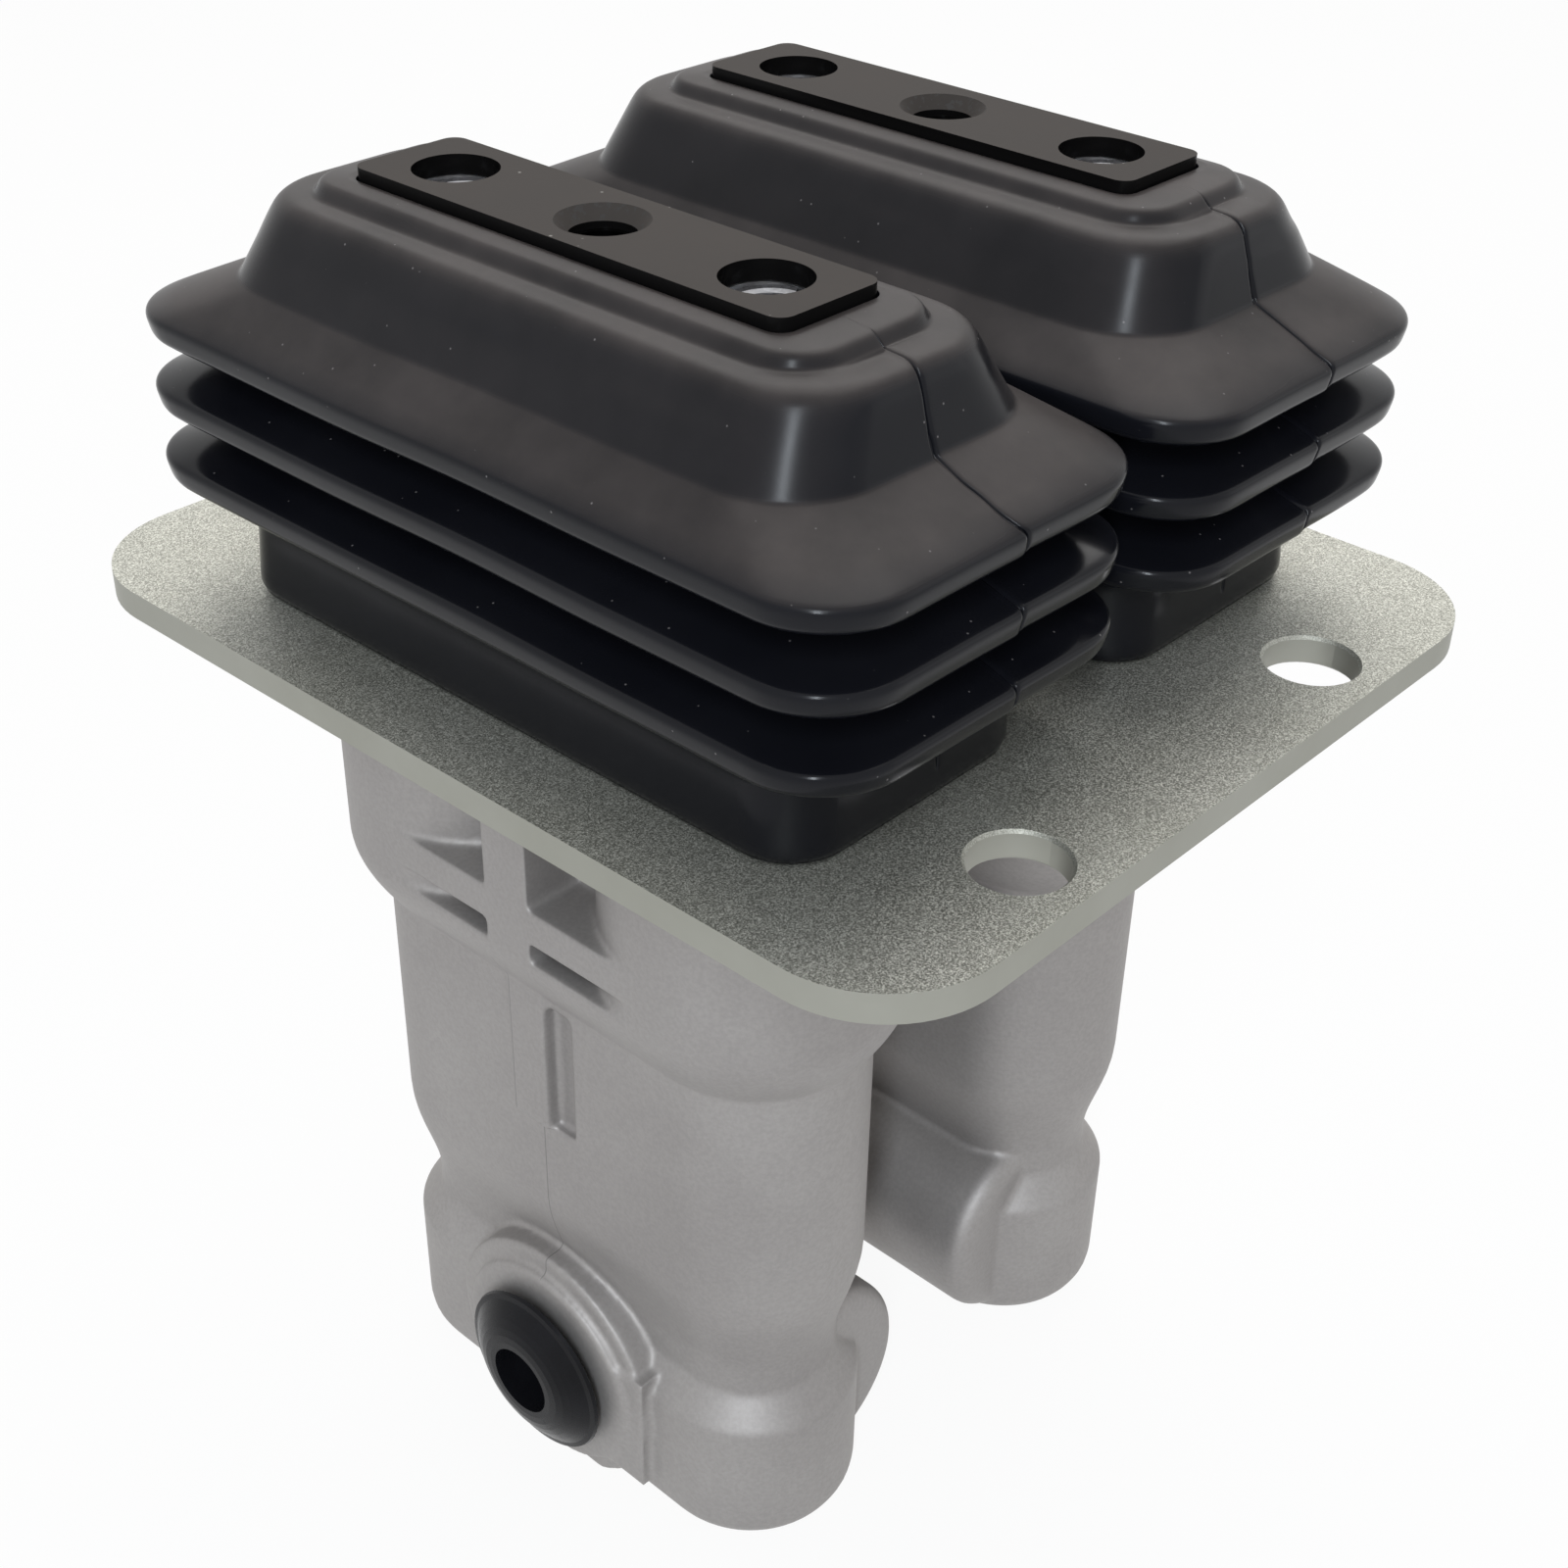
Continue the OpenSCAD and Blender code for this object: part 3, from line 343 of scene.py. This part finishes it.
def plastic_material():
    """Moulded black plastic."""
    mat, tree, shader = node_tree("cap plastic")
    fine = place_noise(tree, 800, 4)
    base = ramp(tree, place_noise(tree, 90, 3), [(0.3, (0.005, 0.005, 0.006)), (0.7, (0.009, 0.009, 0.011))])
    tree.links.new(base, shader.inputs["Base Color"])
    tree.links.new(span(tree, fine, 0.22, 0.32), shader.inputs["Roughness"])
    shader.inputs["Specular IOR Level"].default_value = 0.12
    bump(tree, shader, [(fine, 0.15, 0.05)])
    return mat


def metal_material(name, dark, light, rough=(0.22, 0.38), squeeze=(1, 1, 1)):
    """Bare metal with a fine grain; squeeze turns the grain into tool marks."""
    mat, tree, shader = node_tree(name)
    grain = place_noise(tree, 900, 4, squeeze=squeeze)
    tree.links.new(ramp(tree, grain, [(0.3, dark), (0.7, light)]), shader.inputs["Base Color"])
    shader.inputs["Metallic"].default_value = 1.0
    tree.links.new(span(tree, grain, *rough), shader.inputs["Roughness"])
    bump(tree, shader, [(grain, 0.12, 0.03)])
    return mat


def rocker_material():
    """Machined steel, painted near black round the locating hole in its middle as the shade of a deep hole."""
    mat, tree, shader = node_tree("machined steel")
    grain = place_noise(tree, 900, 4, squeeze=(1, 1, 6))
    steel = ramp(tree, grain, [(0.3, (0.30, 0.30, 0.31)), (0.7, (0.44, 0.44, 0.45))])
    aside = tree.nodes.new("ShaderNodeMath")
    aside.operation = "ABSOLUTE"
    tree.links.new(object_place(tree, "Y"), aside.inputs[0])
    # Painted shade: the steel turns near black within 6 to 9 mm of the middle, so the locating hole looks deep
    painted_hole_shade = span(tree, aside.outputs["Value"], 1.0, 0.0, 6.0 * MM, 9.0 * MM)
    tree.links.new(mix(tree, painted_hole_shade, steel, (0.010, 0.010, 0.010)), shader.inputs["Base Color"])
    shader.inputs["Metallic"].default_value = 1.0
    tree.links.new(span(tree, grain, 0.28, 0.42), shader.inputs["Roughness"])
    bump(tree, shader, [(grain, 0.12, 0.03)])
    return mat


def seal_material():
    """Dull black rubber of rings and wipers."""
    mat, tree, shader = node_tree("seal rubber")
    grain = place_noise(tree, 700, 3)
    tree.links.new(ramp(tree, grain, [(0.3, (0.012, 0.012, 0.012)), (0.7, (0.024, 0.024, 0.025))]),
                   shader.inputs["Base Color"])
    tree.links.new(span(tree, grain, 0.5, 0.65), shader.inputs["Roughness"])
    bump(tree, shader, [(grain, 0.1, 0.03)])
    return mat


def make_materials():
    """One material for each slot of the record."""
    return {
        "plate": zinc_material(),
        "casting": casting_material(),
        "cap_plastic": plastic_material(),
        "bracket_iron": metal_material("bracket iron", (0.20, 0.20, 0.19), (0.32, 0.32, 0.31), (0.45, 0.6)),
        "screw_steel": metal_material("black oxide steel", (0.035, 0.035, 0.037), (0.07, 0.07, 0.075)),
        "boot_rubber": rubber_material(),
        "pin_steel": metal_material("ground steel", (0.55, 0.56, 0.57), (0.68, 0.69, 0.70), (0.12, 0.24)),
        "rocker_steel": rocker_material(),
        "bush_bronze": metal_material("bronze", (0.40, 0.26, 0.11), (0.52, 0.36, 0.17)),
        "bar_paint": paint_material(),
        "nut_steel": metal_material("zinc plated nut steel", (0.42, 0.42, 0.41), (0.56, 0.56, 0.55)),
        "guide_alloy": metal_material("turned alloy", (0.42, 0.42, 0.43), (0.56, 0.56, 0.57), squeeze=(1, 1, 8)),
        "seal_rubber": seal_material(),
        "piston_brass": metal_material("piston brass", (0.48, 0.36, 0.16), (0.6, 0.46, 0.24), (0.2, 0.32)),
        "spring_steel": metal_material("spring wire", (0.30, 0.30, 0.32), (0.42, 0.42, 0.44), (0.25, 0.4)),
    }


def dress_nodes(materials):
    """Every CAD node gets its slot's material."""
    slots = {part["node"]: part["material_slot"] for part in frame["record"]["subparts"]}
    for name, obj in frame["nodes"].items():
        obj.data.materials.clear()
        obj.data.materials.append(materials[slots[name]])


def soften(obj, width, segments):
    """Rounds a CAD node's sharp edges by a bevel modifier."""
    item = obj.modifiers.new("rounded edges", "BEVEL")
    item.width = width * MM
    item.segments = segments
    item.limit_method = "ANGLE"
    item.angle_limit = radians(EDGE_ANGLE)
    item.use_clamp_overlap = True
    item.harden_normals = True


def cast_skin(obj):
    """Gives a CAD casting soft inner and outer fillets, as sand or die casting leaves them."""
    remesh = obj.modifiers.new("cast skin", "REMESH")
    remesh.mode = "VOXEL"
    remesh.voxel_size = CAST_VOXEL * MM
    remesh.use_smooth_shade = True
    smooth = obj.modifiers.new("cast fillets", "SMOOTH")
    smooth.factor = 0.5
    smooth.iterations = CAST_ROUNDS


def new_object(name, points, faces, material, smooth=True):
    """A mesh object from points in millimetres."""
    mesh = bpy.data.meshes.new(name)
    mesh.from_pydata([Vector(p) * MM for p in points], [], faces)
    mesh.validate()
    mesh.update()
    mesh.polygons.foreach_set("use_smooth", [smooth] * len(mesh.polygons))
    mesh.materials.append(material)
    obj = bpy.data.objects.new(name, mesh)
    bpy.context.scene.collection.objects.link(obj)
    return obj


def between(first, second, share):
    """The section that lies at that share of the way from first to second."""
    return tuple(a + (b - a) * share for a, b in zip(first, second))


def filleted(keys, steps=4):
    """Rounds the corners of a path of sections; each key is (section, reach in mm)."""
    path = []
    for i, (here, reach) in enumerate(keys):
        if reach == 0 or i in (0, len(keys) - 1):
            path.append(here)
            continue
        before = keys[i - 1][0]
        after = keys[i + 1][0]
        start = between(here, before, min(0.48, reach / dist(here, before)))
        end = between(here, after, min(0.48, reach / dist(here, after)))
        for k in range(steps + 1):
            t = k / steps
            path.append(between(between(start, here, t), between(here, end, t), t))
    return path


def crack_at(side, z):
    """How far the mould's parting crack lies from the middle at that height."""
    path = CRACK[side]
    place = path[-1][1]
    for (low, first), (high, second) in zip(path, path[1:]):
        if z < high:
            place = first + (second - first) * max(0.0, (z - low) / (high - low))
            break
    return place + 0.30 * noise.noise(Vector((5 * SIDES[side], 0, z * 0.8)))


def crack_width(side, z):
    """Half the crack's width at that height: a hairline that opens at the foot of the hat."""
    return 0.07 + 0.26 * max(0.0, 1 - abs(z - 48.6) / 2.2) + 0.05 * noise.noise(Vector((SIDES[side], 9, z * 1.3)))


def ring_points(half_l, half_w, radius, z, crack, width, corner_steps=10, long_steps=14, short_steps=6):
    """A rounded rectangle, anticlockwise from above, with close steps beside the crack."""
    radius = max(1.0, min(radius, half_w - 0.5))
    corners = []
    for sx, sy, turn in ((1, 1, 0), (-1, 1, 90), (-1, -1, 180), (1, -1, 270)):
        cx = sx * (half_w - radius)
        cy = sy * (half_l - radius)
        corners.append([(cx + radius * cos(radians(turn + 90 * k / corner_steps)),
                         cy + radius * sin(radians(turn + 90 * k / corner_steps)))
                        for k in range(corner_steps + 1)])
    points = []
    for i, corner in enumerate(corners):
        points += corner
        last = corner[-1]
        first = corners[(i + 1) % 4][0]
        if i == 2:
            reach = first[0]
            points += [(x, last[1]) for x in (-0.66 * reach, -0.33 * reach + crack * 0.5,
                                              crack - 1.5, crack - 0.45, crack - width, crack,
                                              crack + width, crack + 0.45, crack + 1.5,
                                              0.33 * reach + crack * 0.5, 0.66 * reach)]
            continue
        steps = short_steps if i % 2 == 0 else long_steps
        points += [(last[0] + (first[0] - last[0]) * k / steps, last[1] + (first[1] - last[1]) * k / steps)
                   for k in range(1, steps)]
    return [(x, y, z) for x, y in points]


def grown(inset, radius, z):
    """A section that lies so far inside the folds' outline."""
    return (FOLD[0] - inset, FOLD[1] - inset, radius, z)


def boot_path():
    """Sections of the boot up its outside and down its inside."""
    wall = BOOT_WALL
    foot_l, foot_w, foot_r = FOOT
    keys = [((foot_l, foot_w, foot_r, PLATE_TOP + 0.2), 0.6),
            ((foot_l - 0.3, foot_w - 0.2, foot_r, 8.0), 0.5),
            ((foot_l - 0.8, foot_w - 0.6, foot_r, FOLD_Z[0] - 4.6), 2.0)]
    for i, low in enumerate(FOLD_Z):
        keys += [(grown(0.5, FOLD[2], low), 0.9),
                 (grown(0.0, FOLD[2], low + FOLD_LIP * 0.85), 1.0)]
        if i < 2:
            keys += [(grown(2.2, FOLD[2] - 1, low + FOLD_LIP + 0.2), 0.8),
                     (grown(VALLEY_DEEP, 6, low + FOLD_LIP + 2.2), 1.2),
                     (grown(VALLEY_DEEP, 6, low + FOLD_LIP + 3.6), 1.2),
                     (grown(1.8, FOLD[2] - 1, FOLD_Z[i + 1] - 0.6), 0.8)]
    lip = grown(0.0, FOLD[2], FOLD_Z[2] + FOLD_LIP * 0.85)
    keys += [(between(lip, HAT_BASE, k / 8), 0) for k in range(2, 8)]
    keys += [(HAT_BASE, 0.5)]
    keys += [(between(HAT_BASE, HAT_EDGE, k / 8), 0) for k in range(1, 6)]
    keys += [(HAT_EDGE, 2.9), (HAT_TOP, 0.8), (COLLAR, 1.3),
             ((BAR_HALF_L + 1.3, BAR_HALF_W + 0.9, 2.8, COLLAR_TOP), 0.4),
             ((BAR_HALF_L + 0.25, BAR_HALF_W + 0.25, 2.2, COLLAR_TOP - 0.1), 0.2),
             ((BAR_HALF_L + 0.35, BAR_HALF_W + 0.35, 2.2, BAR_BOTTOM - 0.2), 0),
             ((*BAR_OPENING, BAR_BOTTOM - 0.2), 0),
             ((*BAR_OPENING, BAR_BOTTOM - BAR_SEAT_DEPTH), 0),
             ((HAT_TOP[0] - 2.4, HAT_TOP[1] - 2.6, 5, BAR_BOTTOM - BAR_SEAT_DEPTH), 0.8),
             ((HAT_BASE[0] - wall, HAT_BASE[1] - wall, 8, HAT_BASE[3] - 1), 1.0)]
    for i in (2, 1, 0):
        low = FOLD_Z[i]
        keys += [(grown(3.8, FOLD[2] - 2, low + 2.0), 0.3), (grown(3.8, FOLD[2] - 2, low + 1.4), 0.3)]
        if i:
            keys += [(grown(VALLEY_DEEP + wall, 4, low - 2.0), 0.8), (grown(VALLEY_DEEP + wall, 4, low - 3.9), 0.8)]
    keys += [((foot_l - wall, foot_w - wall, 6, FOLD_Z[0] - 5.2), 1.0),
             ((foot_l - wall, foot_w - wall, 6, 8.2), 0),
             ((foot_l - wall - 0.6, foot_w - wall - 0.6, 6, 8.0), 0),
             ((*FOOT_INSIDE, PLATE_TOP + 0.2), 0)]
    return filleted(keys)


def make_boot(side, material):
    """One rubber bellows: a loft of rounded rectangles, slightly uneven as moulded rubber is."""
    centre = SIDES[side] * PEDAL_X
    points = []
    rings = boot_path()
    top_ring = max(range(len(rings)), key=lambda i: rings[i][3])
    for i, (half_l, half_w, radius, z) in enumerate(rings):
        crack = crack_at(side, z)
        cracked = 3 < i <= top_ring
        heel_end = -half_l + 0.01
        on_hat_top = half_l <= HAT_TOP[0] + 0.1
        for x, y, height in ring_points(half_l, half_w, radius, z, crack, crack_width(side, z)):
            away = x - crack
            if cracked and y < heel_end and not on_hat_top:
                height += CRACK_STEP * max(-1.0, min(1.0, away / 0.3)) * max(0.0, 1 - abs(away) / CRACK_REACH)
            if cracked and y < heel_end and abs(away) < 0.01:
                y += CRACK_SINK * (0.35 if on_hat_top else 1.0)
            seed = Vector((x * 0.035 + 11 * SIDES[side], y * 0.035, height * 0.02))
            sway = UNEVEN * noise.noise(seed) * min(1.0, max(0.0, (height - 8) / 12))
            rise = UNEVEN * noise.noise(seed + Vector((3, 5, 9))) * min(1.0, max(0.0, (height - 14) / 10))
            if height > 53:
                sway = sway * 0.3
                rise = 0
            length = (x * x + y * y) ** 0.5
            points.append((centre + x + sway * x / length, y + sway * y / length, height + rise))
    count = len(points) // len(rings)
    faces = [(i * count + j, i * count + (j + 1) % count,
              ((i + 1) % len(rings)) * count + (j + 1) % count, ((i + 1) % len(rings)) * count + j)
             for i in range(len(rings)) for j in range(count)]
    boot = new_object(f"{side}_rubber_boot", points, faces, material)
    surface = boot.modifiers.new("smooth rubber", "SUBSURF")
    surface.levels = 1
    surface.render_levels = 1
    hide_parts(f"{side}_boot")
    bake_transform(boot)


def make_thread(side, end, bright, dark):
    """M10 thread turns in the rocker's tapped hole under the bar: bright flanks, with the other faces in a dark
    material as painted shade in the roots.
    """
    centre = Vector((SIDES[side] * PEDAL_X, end * HOLE_Y, 0))
    steps = 32
    last = THREAD_TURNS * steps
    top = BAR_BOTTOM - 0.15
    points = []
    for i in range(last + 1):
        a = 2 * pi * i / steps
        z = top - THREAD_PITCH * i / steps
        points += [(centre.x + r * cos(a), centre.y + r * sin(a), z + dz) for r, dz in THREAD_PROFILE]
    n = len(THREAD_PROFILE)
    faces = [(i * n + k, i * n + (k + 1) % n, (i + 1) * n + (k + 1) % n, (i + 1) * n + k)
             for i in range(last) for k in range(n)]
    faces += [tuple(range(n)), tuple(range(last * n + n - 1, last * n - 1, -1))]
    word = "toe" if end > 0 else "heel"
    thread = new_object(f"{side}_{word}_thread", points, faces, bright, smooth=False)
    thread.data.materials.append(dark)
    # Painted shade: faces off the bright flanks get the dark material
    for i, face in enumerate(thread.data.polygons):
        face.material_index = 0 if i % n in BRIGHT_FLANKS else 1
    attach(thread, f"{side}_pedal")


def make_spring(side, word, kind, material):
    """A coil spring with closed ends."""
    wire, turns, foot_share = SPRINGS[kind]
    node = f"{side}_{word}_{kind}_spring"
    low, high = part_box(node)
    x, y = (low[0] + high[0]) / 2 / MM, (low[1] + high[1]) / 2 / MM
    radius = (high[0] - low[0]) / 2 / MM - wire
    bottom, top = low[2] / MM, high[2] / MM
    steps, around = 28, 10
    closed = CLOSED_TURNS
    shut = closed * wire * 2.02
    points = []
    for i in range(turns * steps + 1):
        turn = i / steps
        if turn < closed:
            z = shut * turn / closed
        elif turn > turns - closed:
            z = top - bottom - 2 * wire - shut * (turns - turn) / closed
        else:
            share = (turn - closed) / (turns - 2 * closed)
            z = shut + (top - bottom - 2 * wire - 2 * shut) * share
        a = 2 * pi * turn
        for k in range(around):
            b = 2 * pi * k / around
            r = radius + wire * cos(b)
            points.append((x + r * cos(a), y + r * sin(a), bottom + wire + z + wire * sin(b)))
    last = turns * steps
    faces = [(i * around + k, (i + 1) * around + k, (i + 1) * around + (k + 1) % around,
              i * around + (k + 1) % around) for i in range(last) for k in range(around)]
    faces += [tuple(range(around)), tuple(range(last * around + around - 1, last * around - 1, -1))]
    spring = new_object(f"{node}_coil", points, faces, material)
    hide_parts(node)
    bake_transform(spring)


def soften_nodes():
    """Rounded edges and cast fillets on the CAD nodes that show."""
    soften(frame["nodes"]["mounting_plate"], *PLATE_EDGE)
    for side in SIDES:
        for piece, (width, segments) in PIECE_EDGES.items():
            soften(frame["nodes"][f"{side}_{piece}"], width, segments)
        cast_skin(frame["nodes"][f"{side}_valve_body"])


def seen_directly(tree):
    """1 for what the camera sees straight, in a reflection or through glass."""
    rays = tree.nodes.new("ShaderNodeLightPath")
    total = rays.outputs["Is Camera Ray"]
    for name in ("Is Glossy Ray", "Is Transmission Ray"):
        both = tree.nodes.new("ShaderNodeMath")
        both.operation = "ADD"
        both.use_clamp = True
        tree.links.new(total, both.inputs[0])
        tree.links.new(rays.outputs[name], both.inputs[1])
        total = both.outputs["Value"]
    return total


def make_room():
    """A pale floor that shows its shadow, and a white world to the camera and in reflections."""
    size = FLOOR_HALF
    mesh = bpy.data.meshes.new("floor")
    mesh.from_pydata([(-size, -size, FLOOR_Z), (size, -size, FLOOR_Z), (size, size, FLOOR_Z),
                      (-size, size, FLOOR_Z)], [], [(0, 1, 2, 3)])
    floor = bpy.data.objects.new("floor", mesh)
    bpy.context.scene.collection.objects.link(floor)
    mat, tree, shader = node_tree("pale floor")
    shader.inputs["Base Color"].default_value = (FLOOR_TONE, FLOOR_TONE, FLOOR_TONE, 1)
    shader.inputs["Roughness"].default_value = 0.9
    paper = add(tree, "ShaderNodeEmission", Strength=1.0)
    paper.inputs["Color"].default_value = (1, 1, 1, 1)
    blank = tree.nodes.new("ShaderNodeMixShader")
    tree.links.new(span(tree, seen_directly(tree), 0.0, FLOOR_WHITE, 0.0, 1.0), blank.inputs[0])
    tree.links.new(shader.outputs["BSDF"], blank.inputs[1])
    tree.links.new(paper.outputs["Emission"], blank.inputs[2])
    tree.links.new(blank.outputs["Shader"], tree.nodes["Material Output"].inputs["Surface"])
    mesh.materials.append(mat)

    world = bpy.data.worlds.new("studio")
    world.use_nodes = True
    tree = world.node_tree
    back = tree.nodes["Background"]
    tree.links.new(span(tree, seen_directly(tree), WORLD_LIGHT, 1.0, 0.0, 1.0), back.inputs["Strength"])
    back.inputs["Color"].default_value = (1, 1, 1, 1)
    bpy.context.scene.world = world


def make_lights():
    """Soft area lamps that look at the origin."""
    for name, place, size, power, colour in LIGHTS:
        data = bpy.data.lights.new(name, "AREA")
        data.shape = "RECTANGLE"
        data.size, data.size_y = size
        data.energy = power
        data.color = colour
        lamp = bpy.data.objects.new(name, data)
        lamp.location = place
        lamp.rotation_euler = (-Vector(place)).to_track_quat("-Z", "Y").to_euler()
        bpy.context.scene.collection.objects.link(lamp)


def make_camera():
    """The camera that was fitted to the photograph."""
    azimuth = radians(CAMERA_AZIMUTH)
    elevation = radians(CAMERA_ELEVATION)
    roll = radians(CAMERA_ROLL)
    back = Vector((sin(azimuth) * cos(elevation), -cos(azimuth) * cos(elevation), sin(elevation)))
    right = Vector((0, 0, 1)).cross(back).normalized()
    up = back.cross(right)
    turned_right = right * cos(roll) + up * sin(roll)
    turned_up = up * cos(roll) - right * sin(roll)
    eye = (Vector(CAMERA_TARGET) + back * CAMERA_DISTANCE) * MM
    data = bpy.data.cameras.new("camera")
    data.sensor_width = 36
    data.lens = LENS
    data.clip_start = 0.01
    data.dof.use_dof = False
    camera = bpy.data.objects.new("camera", data)
    turn = Matrix((turned_right, turned_up, back)).transposed().to_4x4()
    camera.matrix_world = Matrix.Translation(eye) @ turn
    bpy.context.scene.collection.objects.link(camera)
    bpy.context.scene.camera = camera


materials = make_materials()
dress_nodes(materials)
soften_nodes()
for side in SIDES:
    make_boot(side, materials["boot_rubber"])
    for end in (1, -1):
        make_thread(side, end, materials["rocker_steel"], materials["screw_steel"])
    for word in ("toe", "heel"):
        for kind in SPRINGS:
            make_spring(side, word, kind, materials["spring_steel"])
make_room()
make_lights()
make_camera()
bpy.context.scene.view_settings.view_transform = "Standard"
